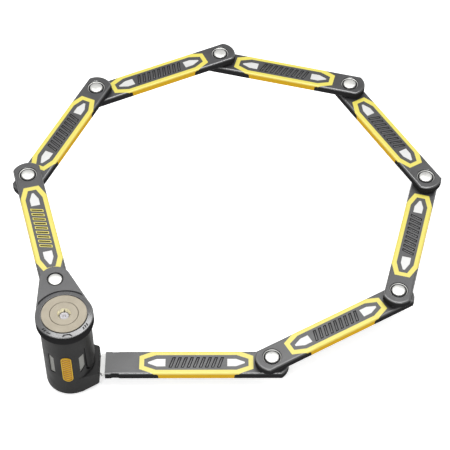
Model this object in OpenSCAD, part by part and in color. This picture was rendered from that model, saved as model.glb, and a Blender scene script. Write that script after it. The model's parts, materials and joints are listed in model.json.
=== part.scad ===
// Folding bike lock: eight coated steel plates riveted end to end under a keyed lock head,
// swung round into an open ring with the last plate's steel nose at the head's mouth.
// Origin: centre of the lock head's flat base. +Z up, +X out of the mouth, -Y the badge side.

/* [Chain] */
// Rivet-to-rivet distance of one plate
pitch = 110; // [104:1:116]
// Width of a coated plate
link_width = 20.4; // [20:0.1:20.6]
// Thickness of a coated plate
link_thickness = 6; // [5.8:0.1:6.2]
// Radius of a plate's end about its rivet
link_end_radius = 12.5; // [12:0.1:12.8]
// Air gap between one plate and the next below it
stack_gap = 1.2; // [1:0.1:1.4]
// Thickness of the soft coating over the steel
coating = 1.2; // [1.1:0.05:1.3]
// Radius of the long top edges
edge_radius = 1.5; // [1.2:0.1:1.8]
// Radius of the long bottom edges
foot_radius = 0.8; // [0.5:0.1:1]

/* [Chain layout] */
// Direction of the first plate, seen from above
first_heading = 105; // [100:1:110]
// Turn at each rivet on the far side of the ring
turn_back = 40; // [38:1:42]
// Turn at each rivet on the side away from the head
turn_side = 45; // [43:1:47]
// Turn at the last rivet
turn_last = 30; // [28:1:32]
// First rivet, sideways from the head's axis
first_rivet_x = -8.6; // [-9.4:0.2:-8]
// First rivet, behind the head's axis
first_rivet_y = 32.55; // [32.2:0.05:32.9]

/* [Plate face] */
// Half length of the coloured band
band_half = 41.5; // [40:0.5:42]
// Half length of the panel inside the band
panel_half = 38; // [37.5:0.1:38.3]
// Depth of the band in the coating
band_depth = 0.9; // [0.7:0.1:0.95]
// Half length from one window tip to the other
window_half = 35.3; // [34:0.1:36]
// Length of a window
window_length = 12.8; // [11:0.1:14]
// Half width of a window
window_half_width = 3.4; // [3:0.1:3.6]
// Depth of the grip pattern
grip_depth = 0.4; // [0.2:0.1:0.6]

/* [Rivets] */
// Radius of a rivet's shank
rivet_radius = 4; // [3.8:0.05:4.2]
// Running clearance of a shank in the lower plate
rivet_clearance = 0.05; // [0.03:0.01:0.08]
// Radius of a rivet's domed head
head_radius = 4.9; // [4.7:0.05:5]
// Radius of the recess round a head in a plate
recess_radius = 7; // [6.6:0.1:7.2]
// Radius of the recess round the head in the lug plate
lug_recess_radius = 5.9; // [5.7:0.1:6.2]
// Chamfer at the top of a recess
recess_chamfer = 0.2; // [0.1:0.05:0.3]
// Height of a domed head over the plate
dome_rise = 0.35; // [0.2:0.05:0.4]
// Radius of a spacer washer
washer_radius = 8; // [7:0.25:9]

/* [Nose] */
// Length of the last plate's coating from its rivet
coat_end = 121.3; // [121:0.1:121.5]
// Length of the bare steel nose past the coating
nose_length = 3.6; // [3.3:0.1:3.7]
// Depth of each locking notch
notch_depth = 0.9; // [0.7:0.1:1]

/* [Lock head] */
// Radius of the housing
body_radius = 18.4; // [18:0.1:18.6]
// Radius of the hardened steel inside it
case_radius = 15; // [14.9:0.1:15.2]
// Height of the last plate's underside over the base
tongue_level = 8.4; // [8.2:0.1:9]
// Radius of the lug plate's large end
lug_radius = 20.6; // [20.2:0.1:20.8]
// Radius of the lug plate's small end
lug_tip_radius = 11.2; // [10.6:0.1:11.6]
// Distance of the mouth from the head's axis
mouth_x = 21.1; // [20.6:0.1:21.3]
// Half width of the receiver at its mouth
mouth_half = 12.4; // [12.2:0.1:13]
// Clearance round the last plate in its slot
slot_clearance = 0.5; // [0.4:0.05:0.6]

/* [Key cylinder] */
// Height of the face disc over the lug plate
face_rise = 2.6; // [2.2:0.1:3]
// Radius of the face disc
face_radius = 16.2; // [16:0.1:16.6]
// Radius of the key plug
plug_radius = 10.05; // [9.8:0.05:10.2]
// Running clearance of the plug
plug_clearance = 0.05; // [0.03:0.01:0.08]
// Radius of the key hole at its mouth
keyhole_radius = 4.8; // [4.4:0.1:5]
// Radius of the dust shutter
shutter_radius = 3.48; // [3.3:0.02:3.6]
// Depth of the shutter under the face
shutter_depth = 2.7; // [2.4:0.1:3]
// Travel of each locking bolt
bolt_travel = 1.5; // [1.4:0.05:1.6]

/* [Badge side] */
// Width of the badge
badge_width = 7.6; // [7:0.2:9]
// Height of the badge
badge_height = 29; // [26:1:32]
// Height of the badge's middle over the base
badge_middle = 32.2; // [31:0.2:34]
// Angle of each side window from the badge
window_angle = 36.4; // [35:0.5:38]
// Width of each side window
window_wide = 4.6; // [4:0.2:5]
// Depth of the steel insert in a side window
insert_sink = 0.6; // [0.4:0.1:1]

/* [Hidden] */
$fn = 96;
cut = 1;
links = 8;
step = link_thickness + stack_gap;
foot_recess = 5.9;
lug_top = tongue_level + link_thickness + links * step;
lug_thickness = link_thickness;
lug_bottom = lug_top - lug_thickness;
core_width = link_width - 2 * coating;
core_end = link_end_radius - coating;
core_bottom = coating - link_thickness;
half_width = link_width / 2;
face_top = lug_top + face_rise;
shade = [0.42, 0.42, 0.43];
dark = [0.17, 0.17, 0.18];
steel = [0.75, 0.75, 0.77];
yellow = [0.95, 0.85, 0.18];
beige = [0.76, 0.71, 0.63];

function turn(k) = k == links ? turn_last : k > links / 2 ? turn_side : turn_back;
function heading(k) = k <= 1 ? first_heading : heading(k - 1) - turn(k);
function along(k) = pitch * [cos(heading(k)), sin(heading(k))];
function pivot(k) = k <= 1 ? [first_rivet_x, first_rivet_y] : pivot(k - 1) + along(k - 1);
function level(k) = lug_top - k * step;

// ---- placing ----
module at_link(k) {
    translate([pivot(k)[0], pivot(k)[1], level(k)]) rotate([0, 0, heading(k)]) children();
}
module at_rivet(k) {
    translate([pivot(k)[0], pivot(k)[1], level(k)]) children();
}

// ---- plate shapes: rivet at x 0, next rivet at x pitch, top face at z 0 ----
module soft_section(w, low, high, rt, rb) {
    translate([-w / 2, low + rb]) square([w, high - low - rb - rt]);
    translate([rt - w / 2, high - 2 * rt]) square([w - 2 * rt, 2 * rt]);
    translate([rb - w / 2, low]) square([w - 2 * rb, 2 * rb]);
    for (s = [-1, 1]) {
        translate([s * (w / 2 - rt), high - rt]) circle(rt);
        translate([s * (w / 2 - rb), low + rb]) circle(rb);
    }
}
module soft_disc() {
    rotate_extrude() intersection() {
        soft_section(2 * link_end_radius, -link_thickness, 0, edge_radius, foot_radius);
        translate([0, -2 * link_thickness]) square([2 * link_end_radius, 4 * link_thickness]);
    }
}
// the whole coated plate before anything is cut from it
module soft_plate(last) {
    reach = last ? coat_end : pitch;
    intersection() {
        translate([-link_end_radius - cut, 0, 0]) rotate([90, 0, 90])
            linear_extrude(reach + 2 * link_end_radius + (last ? 0 : 2 * cut))
            soft_section(link_width, -link_thickness, 0, edge_radius, foot_radius);
        union() {
            soft_disc();
            translate([0, -link_width, -link_thickness - cut])
                cube([reach, 2 * link_width, link_thickness + 2 * cut]);
            if (!last) translate([pitch, 0, 0]) soft_disc();
        }
    }
}
module core_plan(last) {
    reach = last ? coat_end + nose_length : pitch;
    difference() {
        intersection() {
            union() {
                circle(core_end);
                translate([0, -core_width / 2]) square([reach, core_width]);
                if (!last) translate([pitch, 0]) circle(core_end);
            }
            translate([-core_end, -core_width / 2]) square([reach + 2 * core_end, core_width]);
        }
        if (last) for (s = [-1, 1]) nose_chamfer(s, reach);
        if (last) notch_plan(core_width / 2);
    }
}
module nose_chamfer(s, reach) {
    c = 1.5;
    h = core_width / 2;
    polygon([[reach - c, s * (h + cut)], [reach - c, s * h], [reach, s * (h - c)],
        [reach + cut, s * (h - c)], [reach + cut, s * (h + cut)]]);
}
// the two shallow locking notches in the last plate's long edges
module notch_plan(edge) {
    near = coat_end - 11;
    far = coat_end - 3.5;
    slope = 1.5;
    for (s = [-1, 1])
        polygon([[near - slope, s * (edge + cut)], [near, s * edge],
            [near + slope, s * (edge - notch_depth)], [far - slope, s * (edge - notch_depth)],
            [far, s * edge], [far + slope, s * (edge + cut)]]);
}
module at_middle() {
    translate([pitch / 2, 0, 0]) children();
}
module band_outline() {
    e = 5.7;
    shoulder = 31;
    wide = link_width;
    polygon([[-band_half, -e], [-shoulder, -half_width + 0.2], [-shoulder, -wide],
        [shoulder, -wide], [shoulder, -half_width + 0.2], [band_half, -e], [band_half, e],
        [shoulder, half_width - 0.2], [shoulder, wide], [-shoulder, wide],
        [-shoulder, half_width - 0.2], [-band_half, e]]);
}
module panel_outline() {
    e = 3.1;
    shoulder = 29.4;
    side = 6.5;
    polygon([[-panel_half, -e], [-shoulder, -side], [shoulder, -side], [panel_half, -e],
        [panel_half, e], [shoulder, side], [-shoulder, side], [-panel_half, e]]);
}
// where the coloured band lies: a frame on the top face that wraps down both long sides
module band_room() {
    side_in = half_width - band_depth + 0.1;
    top_cut = 31;
    rim_cut = 27.8;
    low_cut = 27.2;
    translate([0, 0, -band_depth]) linear_extrude(band_depth + cut)
        difference() { band_outline(); panel_outline(); }
    for (s = [-1, 1]) translate([0, s > 0 ? side_in + link_width : -side_in, 0])
        rotate([90, 0, 0]) linear_extrude(link_width)
        polygon([[-top_cut, 0], [-rim_cut, -edge_radius], [-low_cut, -link_thickness - cut],
            [low_cut, -link_thickness - cut], [rim_cut, -edge_radius], [top_cut, 0]]);
}
module window_outline() {
    base = window_half - window_length;
    shoulder = window_half - 6.4;
    w = window_half_width;
    blunt = 0.7;
    polygon([[base, -w], [shoulder, -w], [window_half, -blunt], [window_half, blunt],
        [shoulder, w], [base, w]]);
}
module both_windows() {
    window_outline();
    mirror([1, 0]) window_outline();
}
// slanted grip bars in place of lettering
module grip_bars() {
    n = 9;
    gap = 4.4;
    lean = 1.5;
    tall = 4.6;
    w = 1.25;
    for (i = [0 : n - 1]) translate([(i - (n - 1) / 2) * gap, 0])
        polygon([[-w - lean, -tall], [w - lean, -tall], [w + lean, tall], [lean - w, tall]]);
}
// recess that takes a rivet's flanged head, with its rim at z 0
module head_recess(radius) {
    translate([0, 0, -coating]) cylinder(h = coating + cut, r = radius);
    translate([0, 0, -recess_chamfer]) cylinder(h = recess_chamfer + cut, r1 = radius,
        r2 = radius + recess_chamfer + cut);
}
module link_core(k) {
    last = k == links;
    pad = 0.25;
    at_link(k) difference() {
        union() {
            translate([0, 0, core_bottom]) linear_extrude(link_thickness - 2 * coating)
                core_plan(last);
            translate([0, 0, -coating - cut / 2]) linear_extrude(coating + cut / 2 - pad)
                at_middle() both_windows();
        }
        translate([0, 0, -link_thickness]) cylinder(h = link_thickness,
            r = rivet_radius + rivet_clearance);
        if (!last) translate([pitch, 0, -link_thickness])
            cylinder(h = link_thickness, r = rivet_radius);
    }
}
module link_cover(k) {
    last = k == links;
    loose = rivet_radius + 0.35;
    at_link(k) difference() {
        soft_plate(last);
        translate([0, 0, core_bottom]) linear_extrude(link_thickness - 2 * coating)
            core_plan(last);
        at_middle() band_room();
        translate([0, 0, -coating - cut / 2]) linear_extrude(2 * coating)
            at_middle() both_windows();
        translate([0, 0, -grip_depth]) linear_extrude(cut) at_middle() grip_bars();
        translate([0, 0, -link_thickness - cut]) cylinder(h = link_thickness + 2 * cut, r = loose);
        translate([0, 0, -link_thickness - cut]) cylinder(h = coating + cut, r = foot_recess);
        if (last) translate([0, 0, -link_thickness - cut])
            linear_extrude(link_thickness + 2 * cut) notch_plan(half_width);
        else {
            translate([pitch, 0, -link_thickness - cut])
                cylinder(h = link_thickness + 2 * cut, r = loose);
            translate([pitch, 0, 0]) head_recess(recess_radius);
        }
    }
}
module link_band(k) {
    at_link(k) intersection() {
        soft_plate(k == links);
        at_middle() band_room();
    }
}
// rivet k: flanged head in the piece above, shank running in plate k, formed head under it
module rivet(k) {
    top = step;
    flange = (k == 1 ? lug_recess_radius : recess_radius) - 0.2;
    crown = coating - 0.5 + dome_rise;
    ball = (head_radius * head_radius + crown * crown) / (2 * crown);
    at_rivet(k) {
        translate([0, 0, core_bottom - 0.5]) cylinder(h = top - coating - core_bottom + 0.6,
            r = rivet_radius);
        translate([0, 0, top - coating]) cylinder(h = 0.5, r = flange);
        intersection() {
            translate([0, 0, top + dome_rise - ball]) sphere(r = ball, $fn = 192);
            translate([0, 0, top - coating + 0.3]) cylinder(h = 2 * coating, r = head_radius);
        }
        translate([0, 0, core_bottom - coating + 0.15]) cylinder(h = coating - 0.23, r = 5.2);
    }
}
module washer(k) {
    at_rivet(k) translate([0, 0, 0.15]) difference() {
        cylinder(h = stack_gap - 0.15, r = washer_radius);
        translate([0, 0, -cut]) cylinder(h = stack_gap + 2 * cut, r = rivet_radius + 0.3);
    }
}

module link_1_core() { color(steel) link_core(1); }
module link_2_core() { color(steel) link_core(2); }
module link_3_core() { color(steel) link_core(3); }
module link_4_core() { color(steel) link_core(4); }
module link_5_core() { color(steel) link_core(5); }
module link_6_core() { color(steel) link_core(6); }
module link_7_core() { color(steel) link_core(7); }
module link_8_core() { color(steel) link_core(8); }
module link_1_cover() { color(shade) link_cover(1); }
module link_2_cover() { color(shade) link_cover(2); }
module link_3_cover() { color(shade) link_cover(3); }
module link_4_cover() { color(shade) link_cover(4); }
module link_5_cover() { color(shade) link_cover(5); }
module link_6_cover() { color(shade) link_cover(6); }
module link_7_cover() { color(shade) link_cover(7); }
module link_8_cover() { color(shade) link_cover(8); }
module link_1_band() { color(yellow) link_band(1); }
module link_2_band() { color(yellow) link_band(2); }
module link_3_band() { color(yellow) link_band(3); }
module link_4_band() { color(yellow) link_band(4); }
module link_5_band() { color(yellow) link_band(5); }
module link_6_band() { color(yellow) link_band(6); }
module link_7_band() { color(yellow) link_band(7); }
module link_8_band() { color(yellow) link_band(8); }
module rivet_1() { color(steel) rivet(1); }
module rivet_2() { color(steel) rivet(2); }
module rivet_3() { color(steel) rivet(3); }
module rivet_4() { color(steel) rivet(4); }
module rivet_5() { color(steel) rivet(5); }
module rivet_6() { color(steel) rivet(6); }
module rivet_7() { color(steel) rivet(7); }
module rivet_8() { color(steel) rivet(8); }
module washer_1() { color(dark) washer(1); }
module washer_2() { color(dark) washer(2); }
module washer_3() { color(dark) washer(3); }
module washer_4() { color(dark) washer(4); }
module washer_5() { color(dark) washer(5); }
module washer_6() { color(dark) washer(6); }
module washer_7() { color(dark) washer(7); }
module washer_8() { color(dark) washer(8); }

// ---- lock head ----
bore_radius = plug_radius + plug_clearance;
slot_low = tongue_level - slot_clearance;
slot_high = tongue_level + link_thickness + slot_clearance;
slot_half = half_width + slot_clearance;
slot_end = -9.4;
cap_radius = 14.2;
cap_seam = 0.3;
cap_high = 2.2;
plug_low = 30;
stack_low = 32;
stack_high = 58;
cavity_radius = 8.4;
tail_radius = 3.3;
cam_low = slot_high + 1.4;
cam_high = cam_low + 3.2;
cam_long = 4.8;
cam_short = cam_long - bolt_travel + 0.1;
window_low = 25;
window_high = 43.4;
badge_sink = 0.8;
bolt_mid = 2.2;
bolt_wide = 4.4;
bolt_in = slot_half + 0.3;
bolt_out = bolt_in + 2.2;
screw_circle = 10;
screw_head = 2.3;
screw_shank = 1.25;

// two tangent discs filled between, as the lug plate is seen from above
module lug_plan() {
    dx = first_rivet_x;
    dy = first_rivet_y;
    toward = atan2(dy, dx);
    lean = acos((lug_radius - lug_tip_radius) / sqrt(dx * dx + dy * dy));
    circle(lug_radius);
    translate([dx, dy]) circle(lug_tip_radius);
    polygon([[0, 0],
        lug_radius * [cos(toward - lean), sin(toward - lean)],
        [dx, dy] + lug_tip_radius * [cos(toward - lean), sin(toward - lean)],
        [dx, dy] + lug_tip_radius * [cos(toward + lean), sin(toward + lean)],
        lug_radius * [cos(toward + lean), sin(toward + lean)]]);
}
module lug_plate() {
    color(shade) difference() {
        translate([0, 0, lug_bottom]) linear_extrude(lug_thickness) lug_plan();
        translate([0, 0, lug_bottom - cut]) cylinder(h = lug_thickness + 2 * cut, r = bore_radius);
        translate([first_rivet_x, first_rivet_y, lug_bottom - cut])
            cylinder(h = lug_thickness + 2 * cut, r = rivet_radius);
        translate([first_rivet_x, first_rivet_y, lug_top]) head_recess(lug_recess_radius);
    }
}
module bezel_ring() {
    lip = face_top - 0.35;
    color(shade) rotate_extrude()
        polygon([[face_radius, lug_top], [lug_radius, lug_top], [lug_radius, lug_top + 0.6],
            [lug_radius - 0.6, lug_top + 1.1], [face_radius + 0.7, lip], [face_radius, lip]]);
}
module face_disc() {
    edge = 0.25;
    color(beige) rotate_extrude()
        polygon([[bore_radius, lug_top], [face_radius, lug_top], [face_radius, face_top - edge],
            [face_radius - edge, face_top], [bore_radius + edge, face_top],
            [bore_radius, face_top - edge]]);
}
module receiver_block() {
    intersection() {
        translate([0, 0, -cut]) linear_extrude(lug_top)
            polygon([[0, 0], [6, -body_radius * cos(asin(6 / body_radius))],
                [mouth_x - 0.8, -mouth_half], [mouth_x, 0.8 - mouth_half],
                [mouth_x, mouth_half - 0.8], [mouth_x - 0.8, mouth_half],
                [6, body_radius * cos(asin(6 / body_radius))]]);
        translate([0, body_radius, 0]) rotate([90, 0, 0]) linear_extrude(2 * body_radius)
            polygon([[0, 1.5], [9, 1.5], [mouth_x, slot_low - 1.9], [mouth_x, slot_high + 2.3],
                [mouth_x - 1, slot_high + 3.3], [0, slot_high + 3.3]]);
    }
}
module slot_room() {
    translate([0, 0, slot_low]) linear_extrude(slot_high - slot_low)
        polygon([[slot_end, 1.3 - slot_half], [-5.5, -slot_half], [mouth_x + cut, -slot_half],
            [mouth_x + cut, slot_half], [-5.5, slot_half], [slot_end, slot_half - 1.3]]);
}
// stands a flat outline on the housing's side, turned from the badge by the given angle
module on_side(turned) {
    rotate([0, 0, turned - 90]) translate([case_radius - 2, 0, 0]) rotate([90, 0, 90])
        linear_extrude(body_radius) children();
}
// the part of a shape that lies in the housing's outermost layer
module outer_layer(depth) {
    intersection() {
        children();
        difference() {
            cylinder(h = lug_top, r = 2 * body_radius);
            translate([0, 0, -cut]) cylinder(h = lug_top + 2 * cut, r = body_radius - depth);
        }
    }
}
// slanted side window, smaller by gap on every side; its foot rises toward the receiver
module side_window(s, gap) {
    w = window_wide / 2;
    e = w - gap;
    foot = (s > 0 ? 5.8 : -1) / window_wide;
    brow = 2.4 / window_wide;
    low = window_low + gap * sqrt(1 + foot * foot);
    high = window_high - gap * sqrt(1 + brow * brow);
    on_side(s * window_angle)
        polygon([[-e * s, low + foot * gap], [e * s, low + foot * (w + e)],
            [e * s, high + brow * (w + e)], [-e * s, high + brow * gap]]);
}
// hooked relief groove between the mouth-side window and the receiver
module relief_groove() {
    half = 6.8;
    low = 20.6;
    bend = 25.5;
    high = 51;
    fade = 17;
    wide = 1.4;
    on_side(67) difference() {
        polygon([[-half, high], [-half, bend], [-half / 2, low], [half / 3, low], [half, bend],
            [half, high - fade]]);
        polygon([[wide / 3 - half, high + cut], [wide - half, bend + wide],
            [wide / 2 - half / 2, low + wide], [half / 3, low + wide], [half - wide / 2, bend + wide],
            [half - wide / 4, high - fade], [half, high + cut]]);
    }
}
// steel strip that fills a side window
module side_insert(s) {
    color(steel) intersection() {
        side_window(s, 0.15);
        difference() {
            cylinder(h = lug_top, r = body_radius - insert_sink);
            translate([0, 0, -cut]) cylinder(h = lug_top + 2 * cut, r = case_radius);
        }
    }
}
module side_insert_left() { side_insert(-1); }
module side_insert_right() { side_insert(1); }
module badge_room() {
    straight = badge_height - badge_width;
    translate([0, 0, badge_middle]) rotate([90, 0, 0]) linear_extrude(2 * body_radius) {
        translate([-badge_width / 2, -straight / 2]) square([badge_width, straight]);
        for (s = [-1, 1]) translate([0, s * straight / 2]) circle(badge_width / 2);
    }
}
module badge() {
    color(yellow) intersection() {
        outer_layer(badge_sink) badge_room();
        cylinder(h = lug_top, r = body_radius + 0.5);
    }
}
module housing_shell() {
    edge = 1.5;
    color(dark) difference() {
        union() {
            rotate_extrude() polygon([[0, 0], [body_radius - edge, 0], [body_radius, edge],
                [body_radius, lug_bottom], [0, lug_bottom]]);
            receiver_block();
        }
        translate([0, 0, cap_high]) cylinder(h = lug_top, r = case_radius);
        translate([0, 0, -cut]) cylinder(h = lug_top, r = cap_radius);
        slot_room();
        for (s = [-1, 1]) side_window(s, 0);
        outer_layer(badge_sink) badge_room();
        outer_layer(1.2) relief_groove();
    }
}
module screw_spots() {
    for (a = [90, 210, 330]) rotate([0, 0, a]) translate([screw_circle, 0, 0]) children();
}
module bolt_room() {
    slack = 0.3;
    reach = bolt_out + 0.2;
    translate([bolt_mid - bolt_wide / 2 - slack, -reach, cam_low - slack])
        cube([bolt_wide + 2 * slack, 2 * reach, cam_high - cam_low + 2 * slack]);
    for (s = [0, 1]) mirror([0, s, 0])
        translate([bolt_mid - bolt_wide / 2 - slack, slot_half - bolt_travel, slot_low])
        cube([bolt_wide + 2 * slack, reach - slot_half + bolt_travel, cam_high + slack - slot_low]);
}
module steel_case() {
    color(steel) difference() {
        translate([0, 0, slot_high]) cylinder(h = lug_bottom - slot_high, r = case_radius);
        translate([0, 0, plug_low - 0.1]) cylinder(h = lug_top, r = bore_radius);
        translate([0, 0, cam_low - 0.3]) cylinder(h = plug_low - cam_low + 1, r = tail_radius + 0.4);
        translate([0, 0, cam_low - 0.3]) cylinder(h = cam_high - cam_low + 0.6, r = cam_long + 0.5);
        bolt_room();
    }
}
// hardened block under the case, with the channel that takes the nose
module slot_block() {
    color(steel) difference() {
        translate([0, 0, cap_high]) cylinder(h = slot_high - cap_high, r = case_radius);
        slot_room();
        bolt_room();
        screw_spots() cylinder(h = cap_high + 4, r = screw_shank);
    }
}
module bottom_cap() {
    color(dark) difference() {
        rotate_extrude() polygon([[0, 0], [cap_radius - cap_seam, 0], [cap_radius, cap_seam],
            [cap_radius, cap_high], [0, cap_high]]);
        screw_spots() translate([0, 0, -cut]) cylinder(h = cap_high + 2 * cut, r = screw_shank);
        screw_spots() translate([0, 0, -cut]) cylinder(h = 1.5 + cut, r = screw_head);
    }
}
module cap_screws() {
    color(steel) screw_spots() difference() {
        union() {
            translate([0, 0, 0.5]) cylinder(h = 1, r = screw_head);
            translate([0, 0, 1]) cylinder(h = cap_high + 2.8, r = screw_shank);
        }
        translate([0, 0, -cut]) cylinder(h = cut + 1.2, r = 1.2, $fn = 6);
    }
}

// ---- turning and sliding parts of the lock ----
module key_plug() {
    edge = 0.25;
    hole = shutter_radius + 0.07;
    color(beige) difference() {
        rotate_extrude() polygon([[cavity_radius, plug_low], [plug_radius, plug_low],
            [plug_radius, face_top - edge], [plug_radius - edge, face_top],
            [keyhole_radius, face_top], [hole, face_top - 2.2], [hole, stack_high],
            [cavity_radius, stack_high]]);
        for (a = [0, 90, 180]) rotate([0, 0, a]) translate([hole - 0.5, -0.5, face_top - 6])
            cube([1.4, 1, 5]);
    }
}
module detainer_stack() {
    discs = 7;
    span = (stack_high - 1.5 - stack_low) / discs;
    color(steel) difference() {
        union() {
            translate([0, 0, stack_low]) cylinder(h = stack_high - stack_low, r = 7);
            for (i = [0 : discs - 1]) translate([0, 0, stack_low + i * span])
                cylinder(h = span - 0.8, r = cavity_radius - 0.2);
            translate([0, 0, stack_high - 1.5]) cylinder(h = 1.5, r = cavity_radius - 0.2);
        }
        translate([0, 0, stack_low - cut])
            cylinder(h = stack_high - stack_low - 1.5 + cut, r = shutter_radius);
        translate([0, 0, stack_low]) cylinder(h = stack_high, r = 1.4);
    }
}
module plug_tail() {
    lens = (cam_long * cam_long + cam_short * cam_short) / (2 * cam_short);
    color(steel) union() {
        translate([0, 0, plug_low]) cylinder(h = stack_low - plug_low, r = cavity_radius);
        translate([0, 0, cam_high - 0.5]) cylinder(h = plug_low - cam_high + 1, r = tail_radius);
        translate([0, 0, cam_low]) linear_extrude(cam_high - cam_low) intersection() {
            translate([lens - cam_short, 0]) circle(lens);
            translate([cam_short - lens, 0]) circle(lens);
        }
    }
}
module key_shutter() {
    top = face_top - shutter_depth;
    edge = 0.4;
    color(steel) rotate_extrude() polygon([[0, top - 1.7], [shutter_radius, top - 1.7],
        [shutter_radius, top - edge], [shutter_radius - edge, top], [1.1, top], [0.6, top - 0.4],
        [0, top - 0.4]]);
}
module coil_slice() {
    wire = 0.8;
    mean = 2.5;
    intersection() {
        difference() { circle(mean + wire / 2, $fn = 12); circle(mean - wire / 2, $fn = 12); }
        polygon([[0, 0], [6, -18], [18, 0], [6, 18]]);
    }
}
// a wound coil: each level holds a slice of the turn, swept round as it rises
module shutter_spring() {
    low = stack_high + 0.05;
    high = face_top - shutter_depth - 1.75;
    color(steel) translate([0, 0, low])
        linear_extrude(high - low, twist = -2160, slices = 72, $fn = 12) coil_slice();
}
// bolt on one side: an arm over the slot that the cam meets, and a leg beside the slot
module bolt(s) {
    arm_in = cam_long + 0.3;
    color(steel) mirror([0, s, 0]) translate([bolt_mid - bolt_wide / 2, 0, 0]) {
        translate([0, arm_in, cam_low]) cube([bolt_wide, bolt_out - arm_in, cam_high - cam_low]);
        translate([0, bolt_in, slot_low + 0.3])
            cube([bolt_wide, bolt_out - bolt_in, cam_high - slot_low - 0.3]);
    }
}
module bolt_left() { bolt(0); }
module bolt_right() { bolt(1); }

link_1_core();
link_2_core();
link_3_core();
link_4_core();
link_5_core();
link_6_core();
link_7_core();
link_8_core();
link_1_cover();
link_2_cover();
link_3_cover();
link_4_cover();
link_5_cover();
link_6_cover();
link_7_cover();
link_8_cover();
link_1_band();
link_2_band();
link_3_band();
link_4_band();
link_5_band();
link_6_band();
link_7_band();
link_8_band();
rivet_1();
rivet_2();
rivet_3();
rivet_4();
rivet_5();
rivet_6();
rivet_7();
rivet_8();
washer_1();
washer_2();
washer_3();
washer_4();
washer_5();
washer_6();
washer_7();
washer_8();
lug_plate();
bezel_ring();
face_disc();
housing_shell();
side_insert_left();
side_insert_right();
badge();
steel_case();
slot_block();
bottom_cap();
cap_screws();
key_plug();
detainer_stack();
plug_tail();
key_shutter();
shutter_spring();
bolt_left();
bolt_right();
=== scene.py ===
"""Looks of the folding bike lock: finishes, detail pieces, floor, light and camera."""
import json
import math

import bmesh
import bpy
from mathutils import Matrix, Vector


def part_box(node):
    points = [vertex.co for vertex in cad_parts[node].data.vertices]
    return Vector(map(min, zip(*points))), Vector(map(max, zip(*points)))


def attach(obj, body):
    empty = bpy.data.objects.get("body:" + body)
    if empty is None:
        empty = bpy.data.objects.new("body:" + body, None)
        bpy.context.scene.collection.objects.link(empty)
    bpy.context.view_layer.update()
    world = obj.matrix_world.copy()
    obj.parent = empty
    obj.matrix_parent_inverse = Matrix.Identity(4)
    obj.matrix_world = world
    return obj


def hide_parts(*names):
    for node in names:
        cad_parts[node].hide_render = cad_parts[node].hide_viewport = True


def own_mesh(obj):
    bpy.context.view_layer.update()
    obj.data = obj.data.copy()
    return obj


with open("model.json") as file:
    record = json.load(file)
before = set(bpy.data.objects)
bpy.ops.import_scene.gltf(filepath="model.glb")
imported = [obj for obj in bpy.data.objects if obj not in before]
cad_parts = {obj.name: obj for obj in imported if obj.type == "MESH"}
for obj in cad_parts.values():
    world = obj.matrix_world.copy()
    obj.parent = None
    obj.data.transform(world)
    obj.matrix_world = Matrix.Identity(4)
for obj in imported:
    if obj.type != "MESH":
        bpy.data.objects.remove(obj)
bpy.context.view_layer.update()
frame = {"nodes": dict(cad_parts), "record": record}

MM = 0.001
NODES = frame["nodes"]
JOINTS = {j["name"]: j for j in frame["record"]["behaviour"]["joints"]}
LINKS = 8
STEP = (JOINTS["rivet_hinge_1"]["pos_m"][2] - JOINTS["rivet_hinge_2"]["pos_m"][2]) / MM
LUG_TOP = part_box("lug_plate")[1].z / MM
FACE_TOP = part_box("face_disc")[1].z / MM
FACE_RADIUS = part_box("face_disc")[1].x / MM
LUG_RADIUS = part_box("bezel_ring")[1].x / MM - 0.01
BODY_RADIUS = -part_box("housing_shell")[0].y / MM
FUNNEL_RADIUS = 4.75  # the key hole's funnel, where it meets the face
BADGE_BASE = BODY_RADIUS + 0.15  # the badge's lowest surface


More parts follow.
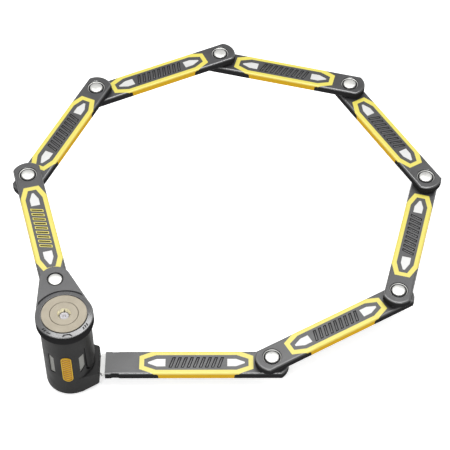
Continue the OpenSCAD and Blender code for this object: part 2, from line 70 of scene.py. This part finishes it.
# ---- finishes ----
class Finish:
    """A Principled material built from procedural nodes in object space."""

    def __init__(self, name, color, roughness, metallic=0.0, specular=0.5):
        self.mat = bpy.data.materials.new(name)
        self.mat.use_nodes = True
        self.tree = self.mat.node_tree
        self.shader = self.tree.nodes["Principled BSDF"]
        self.shader.inputs["Base Color"].default_value = (*color, 1)
        self.shader.inputs["Roughness"].default_value = roughness
        self.shader.inputs["Metallic"].default_value = metallic
        self.shader.inputs["Specular IOR Level"].default_value = specular
        self.coords = self.node("ShaderNodeTexCoord")
        self.height = None

    def node(self, kind, **props):
        n = self.tree.nodes.new(kind)
        for k, v in props.items():
            setattr(n, k, v)
        return n

    def link(self, a, b):
        self.tree.links.new(a, b)

    def noise(self, scale, detail=3.0, stretch=None):
        n = self.node("ShaderNodeTexNoise")
        n.inputs["Scale"].default_value = scale
        n.inputs["Detail"].default_value = detail
        source = self.coords.outputs["Object"]
        if stretch:
            m = self.node("ShaderNodeMapping")
            m.inputs["Scale"].default_value = stretch
            self.link(source, m.inputs["Vector"])
            source = m.outputs["Vector"]
        self.link(source, n.inputs["Vector"])
        return n.outputs["Fac"]

    def remap(self, fac, low, high, from_low=0.3, from_high=0.7):
        m = self.node("ShaderNodeMapRange")
        m.inputs["From Min"].default_value = from_low
        m.inputs["From Max"].default_value = from_high
        m.inputs["To Min"].default_value = low
        m.inputs["To Max"].default_value = high
        self.link(fac, m.inputs["Value"])
        return m.outputs["Result"]

    def mix(self, fac, a, b):
        m = self.node("ShaderNodeMix", data_type="RGBA")
        self.link(fac, m.inputs["Factor"])
        for value, socket in ((a, m.inputs[6]), (b, m.inputs[7])):
            if isinstance(value, tuple):
                socket.default_value = (*value, 1)
            else:
                self.link(value, socket)
        return m.outputs[2]

    def math(self, op, a, b=None):
        m = self.node("ShaderNodeMath", operation=op)
        for value, socket in ((a, m.inputs[0]), (b, m.inputs[1])):
            if isinstance(value, (int, float)):
                socket.default_value = value
            elif value is not None:
                self.link(value, socket)
        return m.outputs[0]

    def facing_up(self, low, high):
        """high on faces that look up or down in the row frame, low on walls."""
        s = self.node("ShaderNodeSeparateXYZ")
        self.link(self.coords.outputs["Normal"], s.inputs[0])
        return self.remap(self.math("ABSOLUTE", s.outputs["Z"]), 0.0, 1.0, low, high)

    def rounded_edge(self):
        """1 on the roundings between flat faces and walls, 0 on both of those."""
        s = self.node("ShaderNodeSeparateXYZ")
        self.link(self.coords.outputs["Normal"], s.inputs[0])
        z = self.math("ABSOLUTE", s.outputs["Z"])
        off_flat = self.remap(z, 1.0, 0.0, 0.97, 0.995)
        return self.math("MULTIPLY", off_flat, self.remap(z, 0.0, 1.0, 0.5, 0.75))

    def radius(self):
        """Distance from the lock's axis, in metres."""
        s = self.node("ShaderNodeSeparateXYZ")
        self.link(self.coords.outputs["Object"], s.inputs[0])
        x2 = self.math("MULTIPLY", s.outputs["X"], s.outputs["X"])
        y2 = self.math("MULTIPLY", s.outputs["Y"], s.outputs["Y"])
        return self.math("SQRT", self.math("ADD", x2, y2))

    def color(self, socket):
        self.link(socket, self.shader.inputs["Base Color"])

    def rough(self, socket):
        self.link(socket, self.shader.inputs["Roughness"])

    def bump(self, fac, distance, strength=1.0):
        b = self.node("ShaderNodeBump")
        b.inputs["Strength"].default_value = strength
        b.inputs["Distance"].default_value = distance
        self.link(fac, b.inputs["Height"])
        if self.height is not None:
            self.link(self.height, b.inputs["Normal"])
        self.height = b.outputs["Normal"]
        self.link(self.height, self.shader.inputs["Normal"])


def times(color, k):
    return tuple(c * k for c in color)


def coating(name, top, side, rough=0.42, gloss=(0.2, 0.8), polish=1.0):
    """Soft moulded coating with a fine grain and a cloudy tone.

    side is the colour of walls, darker as painted shade for walls that the light from above misses;
    gloss the specular level of walls and of flat faces, and polish the coat on rounded edges.
    """
    f = Finish(name, top, rough)
    f.link(f.facing_up(*gloss), f.shader.inputs["Specular IOR Level"])
    f.link(f.math("MULTIPLY", f.rounded_edge(), polish), f.shader.inputs["Coat Weight"])
    f.shader.inputs["Coat Roughness"].default_value = 0.16
    f.shader.inputs["Coat IOR"].default_value = 1.8
    grain = f.noise(2600, 2)
    blotch = f.noise(60, 3)
    shade = f.mix(f.remap(blotch, 0.0, 0.6), top, times(top, 1.18))
    shade = f.mix(f.remap(grain, 0.0, 0.3), shade, times(top, 0.55))
    # painted shade: walls take the darker side colour, flat faces the top colour
    f.color(f.mix(f.facing_up(0.3, 0.93), side, shade))
    f.rough(f.remap(blotch, rough - 0.06, rough + 0.08))
    f.bump(grain, 0.00012, 0.35)
    f.bump(f.noise(420, 2), 0.0001, 0.15)
    return f.mat


def band_finish():
    """Yellow moulded band, deeper and duller on its walls as painted shade where the light from above
    falls less.
    """
    top, side = (0.635, 0.56, 0.080), (0.485, 0.288, 0.016)
    f = Finish("band_yellow", top, 0.36)
    f.link(f.facing_up(0.08, 0.5), f.shader.inputs["Specular IOR Level"])
    blotch = f.noise(90, 3)
    shade = f.mix(f.remap(blotch, 0.0, 0.5), top, (0.60, 0.51, 0.062))
    # painted shade: walls take the darker orange side colour
    f.color(f.mix(f.facing_up(0.2, 0.85), side, shade))
    f.rough(f.remap(f.noise(500, 3), 0.3, 0.44))
    f.bump(f.noise(2200, 2), 0.00006, 0.3)
    return f.mat


def steel(name, color, rough, metallic=1.0, brush=(40, 900, 900), depth=0.35):
    """Brushed or blasted steel. brush is the grain's scale along each axis, depth its bump."""
    f = Finish(name, color, rough, metallic)
    lines = f.noise(1.0, 4, brush)
    smudge = f.noise(180, 3)
    f.color(f.mix(f.remap(smudge, 0.0, 0.5), color, times(color, 0.88)))
    f.rough(f.remap(lines, rough - 0.07, rough + 0.1))
    f.bump(lines, 0.00004, depth)
    return f.mat


def turned(name, color, dark, bright, rough):
    """Metal turned about the lock's axis: fine rings, and a polished funnel at the key hole."""
    f = Finish(name, color, rough, 0.85)
    r = f.radius()
    n = f.node("ShaderNodeTexNoise", noise_dimensions="1D")
    n.inputs["Scale"].default_value = 5200
    n.inputs["Detail"].default_value = 3
    f.link(r, n.inputs["W"])
    lines = n.outputs["Fac"]
    cloud = f.noise(130, 3)
    shade = f.mix(f.remap(cloud, 0.0, 0.5), color, dark)
    shade = f.mix(f.remap(lines, 0.0, 0.3), shade, times(color, 0.7))
    inside = f.math("LESS_THAN", r, FUNNEL_RADIUS * MM)
    f.color(f.mix(inside, shade, bright))
    f.rough(f.remap(cloud, rough - 0.02, rough + 0.04))
    f.bump(lines, 0.00005, 0.3)
    return f.mat


def moulded(name, color, rough, grain=1500, depth=0.00010, specular=0.35, shade_inside_radius=None, painted_top_light=1.0):
    """Hard grained plastic. lift lightens flat faces, painted light from above; walls nearer the axis
    than pit go dark, painted shade on walls set into the body.
    """
    f = Finish(name, color, rough, specular=specular)
    texture = f.noise(grain, 3)
    blotch = f.noise(70, 3)
    shade = f.mix(f.remap(blotch, 0.0, 0.5), color, tuple(c * 1.3 + 0.003 for c in color))
    shade = f.mix(f.remap(texture, 0.0, 0.3), shade, times(color, 0.6))
    # painted light: flat faces lightened by lift, as if lit from above
    if painted_top_light != 1.0:
        shade = f.mix(f.facing_up(0.0, 1.0), shade, times(color, painted_top_light))
    # painted shade: walls nearer the axis than pit darkened, as shade inside grooves and windows
    if shade_inside_radius:
        wall = f.facing_up(1.0, 0.0)
        painted_shade_mask = f.math("MULTIPLY", f.math("LESS_THAN", f.radius(), shade_inside_radius * MM), wall)
        shade = f.mix(painted_shade_mask, shade, times(color, 0.25))
    f.color(shade)
    f.rough(f.remap(blotch, rough - 0.05, rough + 0.1))
    f.bump(texture, depth, 0.4)
    return f.mat


def badge_finish():
    """Gold lacquer, deep amber in the grooves as painted shade, and paler along the rim."""
    low, rib, rim = (0.27, 0.115, 0.003), (0.56, 0.345, 0.009), (0.57, 0.38, 0.017)
    f = Finish("badge_gold", rib, 0.4, specular=0.15)
    height = f.math("SUBTRACT", f.radius(), BADGE_BASE * MM)
    # painted shade: the lowest parts, between the ribs and along the edge, take the deep amber
    shade = f.mix(f.remap(height, 0.0, 1.0, 0.00002, 0.00018), low, rib)
    shade = f.mix(f.remap(height, 0.0, 1.0, 0.00023, 0.00027), shade, rim)
    cloud = f.noise(160, 3)
    f.color(f.mix(f.remap(cloud, 0.0, 0.35), shade, low))
    f.rough(f.remap(cloud, 0.34, 0.5))
    f.bump(f.noise(900, 3), 0.00006, 0.4)
    return f.mat


# The coatings' side colours are painted shade on walls; the bezel's walls are painted nearly black.
M = {
    "link_coating": coating("coating_grey", (0.025, 0.025, 0.0265), (0.018, 0.018, 0.0185), 0.38),
    "link_band": band_finish(),
    "plate_steel": steel("plate_steel", (0.62, 0.62, 0.61), 0.45, 0.35),
    "rivet_steel": steel("rivet_steel", (0.73, 0.73, 0.705), 0.34, 0.75, (260, 260, 260), 0.12),
    "washer": moulded("washer_black", (0.012, 0.012, 0.013), 0.5),
    "lug_coating": coating("lug_grey", (0.026, 0.026, 0.0275), (0.016, 0.016, 0.0165), 0.38),
    "bezel": coating(
        "bezel_grey", (0.075, 0.075, 0.077), (0.002, 0.002, 0.0022), 0.26, (0.05, 1.0), 0.6
    ),
    "face_metal": turned(
        "face_metal", (0.295, 0.265, 0.21), (0.275, 0.246, 0.194), (0.90, 0.85, 0.66), 0.45
    ),
    # housing: flat faces lightened 2.4 times as painted light, set-in walls darkened as painted shade
    "housing_plastic": moulded(
        "housing_black", (0.012, 0.012, 0.012), 0.5, specular=0.12, shade_inside_radius=BODY_RADIUS - 0.5, painted_top_light=2.4
    ),
    "case_steel": steel("case_steel", (0.50, 0.50, 0.47), 0.42, brush=(500, 500, 30)),
    "insert_steel": steel("insert_steel", (0.165, 0.165, 0.152), 0.5, 0.4, (500, 500, 30)),
    "badge": badge_finish(),
    "inner_steel": steel("inner_steel", (0.55, 0.55, 0.56), 0.38),
    "shutter_steel": steel("shutter_steel", (0.27, 0.262, 0.275), 0.3, 0.8, (600, 600, 600)),
}
for sub in frame["record"]["subparts"]:
    o = NODES[sub["node"]]
    o.data.materials.clear()
    o.data.materials.append(M[sub["material_slot"]])
# Black for real marks and infill (ring marks, grip recess floors, the first plate's grip bars) and for
# painted shade (rivet grooves, rivet recess walls, the strip behind the ring).
SHADE_AND_PRINT_BLACK = moulded("shade_and_print_black", (0.008, 0.008, 0.009), 0.6, 900, 0.00005, 0.2)


# ---- mesh tools, in millimetres ----
def piece(name, bm, body, slot, finish=None, place=Matrix.Identity(4), crease=40):
    """Turns a mesh in millimetres into a finished object that rides on a body."""
    bmesh.ops.recalc_face_normals(bm, faces=bm.faces)
    bm.transform(Matrix.Diagonal((MM, MM, MM, 1)) @ place)
    mesh = bpy.data.meshes.new(name)
    bm.to_mesh(mesh)
    bm.free()
    mesh.shade_smooth()
    mesh.set_sharp_from_angle(angle=math.radians(crease))
    mesh.materials.append(finish or M[slot])
    o = bpy.data.objects.new(name, mesh)
    bpy.context.scene.collection.objects.link(o)
    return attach(o, body)


def skin(bm, rings, closed_ends=True):
    """Joins equal rings of points one after the other, and caps the two ends."""
    loops = [[bm.verts.new(p) for p in ring] for ring in rings]
    n = len(loops[0])
    for a, b in zip(loops, loops[1:]):
        for i in range(n):
            bm.faces.new((a[i], a[(i + 1) % n], b[(i + 1) % n], b[i]))
    if closed_ends:
        bm.faces.new(loops[0])
        bm.faces.new(loops[-1])
    return bm


def lathe(profile, segments=96):
    """Turns a closed profile of (radius, height) points about the Z axis."""
    bm = bmesh.new()
    rings = []
    for i in range(segments):
        a = 2 * math.pi * i / segments
        rings.append([(r * math.cos(a), r * math.sin(a), z) for r, z in profile])
    rings.append(rings[0])
    skin(bm, rings, closed_ends=False)
    bmesh.ops.remove_doubles(bm, verts=bm.verts, dist=1e-5)
    return bm


def arc(cx, cy, r, start, end, n=6):
    """Points on an arc, angles in degrees."""
    turn = [math.radians(start + (end - start) * i / n) for i in range(n + 1)]
    return [(cx + r * math.cos(a), cy + r * math.sin(a)) for a in turn]


def inset(outline, d):
    """A convex outline moved in by d."""
    out = []
    n = len(outline)
    for i in range(n):
        p0, p1, p2 = (Vector(outline[(i + j) % n]) for j in (-1, 0, 1))
        a, b = (p1 - p0).normalized(), (p2 - p1).normalized()
        na, nb = Vector((-a.y, a.x)), Vector((-b.y, b.x))
        middle = (na + nb).normalized()
        out.append(tuple(p1 + middle * d / middle.dot(na)))
    return out


def slab(bm, outline, low, high, soft):
    """A plate with that outline whose top edge is rounded by soft."""
    rings = [[(x, y, low) for x, y in outline]]
    for i in range(4):
        a = math.pi / 2 * i / 3
        step = inset(outline, soft * (1 - math.cos(a)))
        rings.append([(x, y, high - soft * (1 - math.sin(a))) for x, y in step])
    return skin(bm, rings)


def frame_slab(bm, outline, width, low, high):
    """A flat frame of that width along the inside of an outline."""
    inner = inset(outline, width)
    rings = [
        [(x, y, low) for x, y in outline],
        [(x, y, high) for x, y in outline],
        [(x, y, high) for x, y in inner],
        [(x, y, low) for x, y in inner],
    ]
    rings.append(rings[0])
    return skin(bm, rings, closed_ends=False)


def soften(node, width, angle=35):
    """A small rounding on a CAD node's creases, and smooth faces between them."""
    b = NODES[node].modifiers.new("edge", "BEVEL")
    b.width = width * MM
    b.segments = 2
    b.limit_method = "ANGLE"
    b.angle_limit = math.radians(angle)
    NODES[node].modifiers.new("flat", "WEIGHTED_NORMAL").keep_sharp = True


for o in NODES.values():
    o.data.shade_smooth()
    o.data.set_sharp_from_angle(angle=math.radians(30))


# ---- plates ----
def rivet_point(k):
    """Rivet k's place on plate k's top face, in millimetres."""
    return Vector(JOINTS[f"rivet_hinge_{k}"]["pos_m"]) / MM


def plate_place(k):
    """Plate k's own frame: rivet at 0, long axis along X, top face at Z 0."""
    here = rivet_point(k)
    there = rivet_point(k + 1) if k < LINKS else Vector((0, 0, 0))
    return Matrix.Translation(here) @ Matrix.Rotation(math.atan2(*(there - here).yx), 4, "Z")


BARS, BAR_GAP, BAR_LEAN, BAR_TALL, BAR_HALF = 9, 4.4, 1.5, 4.6, 1.25
PLATE_MIDDLE = 55.0
GRIP_FLOOR = -0.4
GRIP_PLAY = 0.02  # room between the recess and what fills it


def grip_outlines():
    """The outline of each slanted recess, in the plate's own frame."""
    for i in range(BARS):
        x = PLATE_MIDDLE + (i - (BARS - 1) / 2) * BAR_GAP
        yield [
            (x - BAR_HALF - BAR_LEAN, -BAR_TALL),
            (x + BAR_HALF - BAR_LEAN, -BAR_TALL),
            (x + BAR_HALF + BAR_LEAN, BAR_TALL),
            (x - BAR_HALF + BAR_LEAN, BAR_TALL),
        ]


def grip(k):
    """Slanted grip bars in the panel's recesses; the first plate's are outlined in yellow."""
    rim = 0.55 if k == 1 else 0.7
    place = plate_place(k)
    floor, bars, rims = bmesh.new(), bmesh.new(), bmesh.new()
    for outline in grip_outlines():
        slab(floor, inset(outline, GRIP_PLAY), GRIP_FLOOR - 0.1, GRIP_FLOOR + 0.04, 0.02)
        if k == 1:
            frame_slab(rims, inset(outline, GRIP_PLAY), rim, GRIP_FLOOR, 0.06)
            slab(bars, inset(outline, rim + 0.1), GRIP_FLOOR, -0.12, 0.08)
        else:
            slab(bars, inset(outline, rim), GRIP_FLOOR, 0.05, 0.12)
    body = f"link_{k}"
    piece(f"{body}_grip_floor", floor, body, "link_coating", SHADE_AND_PRINT_BLACK, place)
    if k == 1:
        piece(f"{body}_grip_rims", rims, body, "link_band", None, place)
        piece(f"{body}_grip_bars", bars, body, "link_coating", SHADE_AND_PRINT_BLACK, place)
    else:
        rims.free()
        piece(f"{body}_grip_bars", bars, body, "link_coating", None, place)


DOME_RADIUS, SHANK_RADIUS = 5.05, 4.0
GROOVE = 1.1  # the groove round the dome, below the plate's top face
FLANGE_UNDER = 1.17  # the flange's underside, below the plate's top face


def rivet(k):
    """Rivet k: domed head in a groove with a black ring of painted shade on its floor, flange, shank,
    and a flatter formed head under.

    From the second on, the flange rises to a bright rim inside the plate's recess, whose wall
    has a black sleeve of painted shade.
    """
    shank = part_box(f"rivet_{k}")
    top, low = STEP, shank[0].z / MM - rivet_point(k).z
    flange = (shank[1].x - shank[0].x) / 2 / MM - 0.02
    groove_edge = flange if k == 1 else flange - 0.5
    body = "lock_body" if k == 1 else f"link_{k - 1}"
    place = Matrix.Translation(rivet_point(k))
    profile = [(0, top + 0.35), (1.6, top + 0.33), (3.0, top + 0.24), (4.1, top + 0.08)]
    profile += arc(DOME_RADIUS - 0.75, top - 0.72, 0.75, 70, 0, 8)
    profile += [(DOME_RADIUS, top - GROOVE), (groove_edge, top - GROOVE)]
    if k > 1:
        profile += [(groove_edge, top - 1.06), (flange - 0.04, top - 0.78), (flange, top - 0.8)]
    profile += [(flange, top - FLANGE_UNDER), (SHANK_RADIUS, top - FLANGE_UNDER), (SHANK_RADIUS, -4.9)]
    profile += [(5.2, -4.9), (5.2, low + 0.35), (4.85, low)]
    profile += [(2.0, low), (1.5, low + 0.25), (0, low + 0.3)]
    o = piece(f"spun_rivet_{k}", lathe(profile), body, "rivet_steel", place=place, crease=32)
    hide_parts(f"rivet_{k}")
    # painted shade: a black ring laid on the groove's floor round the dome
    groove_shade_profile = [(DOME_RADIUS + 0.01, top - 1.15), (DOME_RADIUS + 0.01, top - 0.98)]
    groove_shade_profile += [(groove_edge - 0.02, top - 0.98), (groove_edge - 0.02, top - 1.15)]
    piece(f"rivet_groove_shade_{k}", lathe(groove_shade_profile), body, "rivet_steel", SHADE_AND_PRINT_BLACK, place)
    if k > 1:
        # painted shade: a black sleeve on the recess wall, for the shade inside the recess
        wall = flange + 0.19
        wall_shade_profile = [(flange + 0.02, top - 1.15), (flange + 0.02, top - 0.9), (wall - 0.03, top - 0.22)]
        wall_shade_profile += [(wall, top - 0.22), (wall, top - 1.15)]
        piece(f"rivet_wall_shade_{k}", lathe(wall_shade_profile), body, "washer", SHADE_AND_PRINT_BLACK, place)


for k in range(1, LINKS + 1):
    grip(k)
    rivet(k)
    soften(f"link_{k}_core", 0.12)

# ---- lock head ----
# radius and height where the ring's sloping face starts, and where it ends beside the disc
RING_SLOPE = (LUG_RADIUS - 0.55, LUG_TOP + 1.25, FACE_RADIUS + 0.9, FACE_TOP - 0.4)


def bezel():
    """Satin ring with a sloping face, soft edges and a groove round the face disc."""
    r_out, z_out, r_in, z_in = RING_SLOPE
    inner, foot = FACE_RADIUS + 0.02, LUG_RADIUS - 0.7
    profile = [(inner, LUG_TOP), (foot, LUG_TOP), (foot, LUG_TOP + 0.3), (LUG_RADIUS, LUG_TOP + 0.4)]
    profile += arc(LUG_RADIUS - 0.6, z_out - 0.62, 0.6, 0, 70, 6)
    profile += [(r_out - 0.4, z_out + (z_in - z_out) * 0.4 / (r_out - r_in))]
    profile += arc(r_in - 0.1, z_in - 0.2, 0.2, 60, 170, 5)
    profile += [(r_in - 0.32, z_in - 0.8), (inner, z_in - 0.85)]
    o = piece("bezel_soft_ring", lathe(profile, 160), "lock_body", "bezel", crease=50)
    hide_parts("bezel_ring")


def ring_mark(bm, azimuth, outline, width):
    """A flat mark on the ring's slope, drawn in arc length and distance up the slope."""
    r_out, z_out, r_in, z_in = RING_SLOPE
    run, rise = r_out - r_in, z_in - z_out
    slope = math.hypot(run, rise)
    start = len(bm.verts)
    frame_slab(bm, outline, width, -0.1, 0.035)
    bm.verts.ensure_lookup_table()
    for v in bm.verts[start:]:
        u, t, h = v.co
        r = r_out - run * t / slope + h * rise / slope
        a = math.radians(azimuth) + u / LUG_RADIUS
        v.co = (r * math.cos(a), r * math.sin(a), z_out + rise * t / slope + h * run / slope)


def ring_marks():
    """Plain position marks: a gate in front, slanted bars to the right, bars and a dash to the left."""
    bm = bmesh.new()
    gate = [(-4.0, 0.45), (4.0, 0.45), (2.6, 2.45), (-2.6, 2.45)]
    ring_mark(bm, -80, gate, 0.8)
    for azimuth, shifts in ((-128, (-3.6, -1.6)), (-34, (-2.4, -0.2, 2.0))):
        for u in shifts:
            bar = [(u - 0.7, 0.5), (u + 0.5, 0.5), (u + 1.4, 2.4), (u + 0.2, 2.4)]
            ring_mark(bm, azimuth, bar, 0.5)
    ring_mark(bm, -128, [(0.6, 0.8), (4.2, 0.8), (4.2, 1.6), (0.6, 1.6)], 0.36)
    piece("bezel_marks", bm, "lock_body", "bezel", SHADE_AND_PRINT_BLACK)


def ring_back_shadow():
    """Painted shadow: a dark bead on the lug plate along the back of the ring, out to the lug's sides,
    standing for the shade behind the ring.
    """
    reach = 0.97  # share of the way to where the ring meets the lug's sides
    widest, crest_height, sunk = 2.2, 0.16, 0.05
    tip_x, tip_y = rivet_point(1).xy
    toward, far = math.atan2(tip_y, tip_x), math.hypot(tip_x, tip_y)
    tip_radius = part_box("lug_plate")[1].y / MM - tip_y
    lean = math.acos((LUG_RADIUS - tip_radius) / far)
    start = LUG_RADIUS - 0.6
    steps = 96
    inner, crest, outer = [], [], []
    for i in range(steps + 1):
        side = -1 + 2 * i / steps
        a = toward + lean * side * reach
        edge = (LUG_RADIUS - 0.9) / math.cos(lean * (1 - abs(side * reach)))
        r = max(LUG_RADIUS - 0.3, min(LUG_RADIUS + widest, edge))
        for ring, rr, z in (
            (inner, start, LUG_TOP - sunk),
            (crest, (start + r) / 2, LUG_TOP + crest_height),
            (outer, r, LUG_TOP - sunk),
        ):
            ring.append((rr * math.cos(a), rr * math.sin(a), z))
    bm = bmesh.new()
    skin(bm, [list(ring) for ring in zip(inner, crest, outer)])
    # painted shadow behind the ring, in the black finish
    piece("ring_back_shadow", bm, "lock_body", "bezel", SHADE_AND_PRINT_BLACK, crease=60)


def badge():
    """Curved badge plate with a raised rim and a field of short ribs."""
    low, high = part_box("badge")
    half = high.x / MM
    middle, tall = (low.z + high.z) / 2 / MM, (high.z - low.z) / 2 / MM
    straight = tall - half
    rows, cols = 150, 36
    rim_height, rim_slope, rim_width, field_start = 0.28, 0.22, 0.75, 1.25
    rib_height, rib_pitch, rib_slant, rib_round = 0.2, 2.5, 0.45, 0.6
    bm = bmesh.new()

    def surface(u, v):
        edge = half - math.hypot(u, max(0.0, abs(v) - straight))
        h = rim_height * min(1.0, max(0.0, edge / rim_slope))
        if edge > rim_width:
            h = 0.0
        if edge > field_start:
            along = v + abs(u) * rib_slant
            h = rib_height * max(0.0, math.sin(along * 2 * math.pi / rib_pitch)) ** rib_round
        return BADGE_BASE + h

    def point(u, v, r):
        a = -math.pi / 2 + u / BODY_RADIUS
        return (r * math.cos(a), r * math.sin(a), middle + v)

    grid = []
    for i in range(rows + 1):
        v = tall * (2 * i / rows - 1)
        width = math.sqrt(max(0.02, half**2 - max(0.0, abs(v) - straight) ** 2))
        row = []
        for j in range(cols + 1):
            u = width * (2 * j / cols - 1)
            row.append(bm.verts.new(point(u, v, surface(u, v))))
        grid.append(row)
    for a, b in zip(grid, grid[1:]):
        for j in range(cols):
            bm.faces.new((a[j], a[j + 1], b[j + 1], b[j]))
    border = grid[0] + [row[-1] for row in grid[1:]]
    border += grid[-1][-2::-1] + [row[0] for row in grid[-2:0:-1]]
    sunk = []
    for v in border:
        k = (BODY_RADIUS - 0.7) / math.hypot(v.co.x, v.co.y)
        sunk.append(bm.verts.new((v.co.x * k, v.co.y * k, v.co.z)))
    for i in range(len(border)):
        bm.faces.new((border[i - 1], border[i], sunk[i], sunk[i - 1]))
    o = piece("badge_plate", bm, "lock_body", "badge", crease=40)
    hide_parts("badge")


def wound_spring():
    """Coil under the shutter, riding on the plug."""
    low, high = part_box("shutter_spring")
    wire, turns, steps, around = 0.35, 6, 24, 8
    margin = wire + 0.02
    radius = high.x / MM - margin
    start = low.z / MM + margin
    rise = high.z / MM - margin - start
    rings = []
    for i in range(turns * steps + 1):
        a = 2 * math.pi * i / steps
        z = start + rise * i / (turns * steps)
        section = arc(radius, z, wire, 0, 360, around)[:-1]
        rings.append([(r * math.cos(a), r * math.sin(a), h) for r, h in section])
    o = piece("wound_spring", skin(bmesh.new(), rings), "plug", "inner_steel")
    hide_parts("shutter_spring")
    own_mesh(o)


bezel()
ring_marks()
ring_back_shadow()
badge()
wound_spring()
soften("lug_plate", 0.7)
soften("housing_shell", 0.35)
soften("side_insert_left", 0.2)
soften("side_insert_right", 0.2)
soften("key_shutter", 0.15)


# ---- floor, light, camera ----
def floor_slab():
    """A wide pale floor whose top is 0.4 mm under the lock."""
    side, thick, room = 12, 0.02, 0.0004
    bm = bmesh.new()
    bmesh.ops.create_cube(bm, size=1.0)
    bmesh.ops.scale(bm, vec=(side, side, thick), verts=bm.verts)
    mesh = bpy.data.meshes.new("floor")
    bm.to_mesh(mesh)
    bm.free()
    o = bpy.data.objects.new("floor", mesh)
    o.location.z = -thick / 2 - room
    bpy.context.scene.collection.objects.link(o)
    f = Finish("floor_white", (0.96, 0.96, 0.96), 0.8, specular=0.1)
    f.color(f.mix(f.noise(3, 2), (0.95, 0.95, 0.95), (0.97, 0.97, 0.97)))
    f.shader.inputs["Emission Color"].default_value = (1, 1, 1, 1)
    f.shader.inputs["Emission Strength"].default_value = 0.45
    o.data.materials.append(f.mat)


floor_slab()
world = bpy.data.worlds.new("studio")
bpy.context.scene.world = world
world.use_nodes = True
world.node_tree.nodes["Background"].inputs["Color"].default_value = (1, 1, 1, 1)
world.node_tree.nodes["Background"].inputs["Strength"].default_value = 0.45
RING_MIDDLE = Vector((0.12, 0.125, 0.03))


def area_light(name, at, width, depth, power):
    """A soft rectangular light aimed at the middle of the ring."""
    data = bpy.data.lights.new(name, "AREA")
    data.shape = "RECTANGLE"
    data.size = width
    data.size_y = depth
    data.energy = power
    o = bpy.data.objects.new(name, data)
    o.location = at
    o.rotation_euler = (RING_MIDDLE - Vector(at)).to_track_quat("-Z", "Y").to_euler()
    bpy.context.scene.collection.objects.link(o)


area_light("softbox", (0.12, 0.39, 1.35), 1.4, 1.05, 19)
area_light("edge_strip", (0.1, -0.95, 1.25), 1.2, 0.12, 9)

CAMERA_TILT = 50.34  # degrees down from level
camera_data = bpy.data.cameras.new("camera")
camera_data.sensor_width = 36
camera_data.lens = 124.05
camera_data.clip_end = 20
camera = bpy.data.objects.new("camera", camera_data)
camera.location = (0.1108, -0.64375, 0.9476)
camera.rotation_euler = (math.radians(90 - CAMERA_TILT), 0, math.radians(-0.15))
bpy.context.scene.collection.objects.link(camera)
bpy.context.scene.camera = camera
bpy.context.scene.view_settings.view_transform = "Standard"
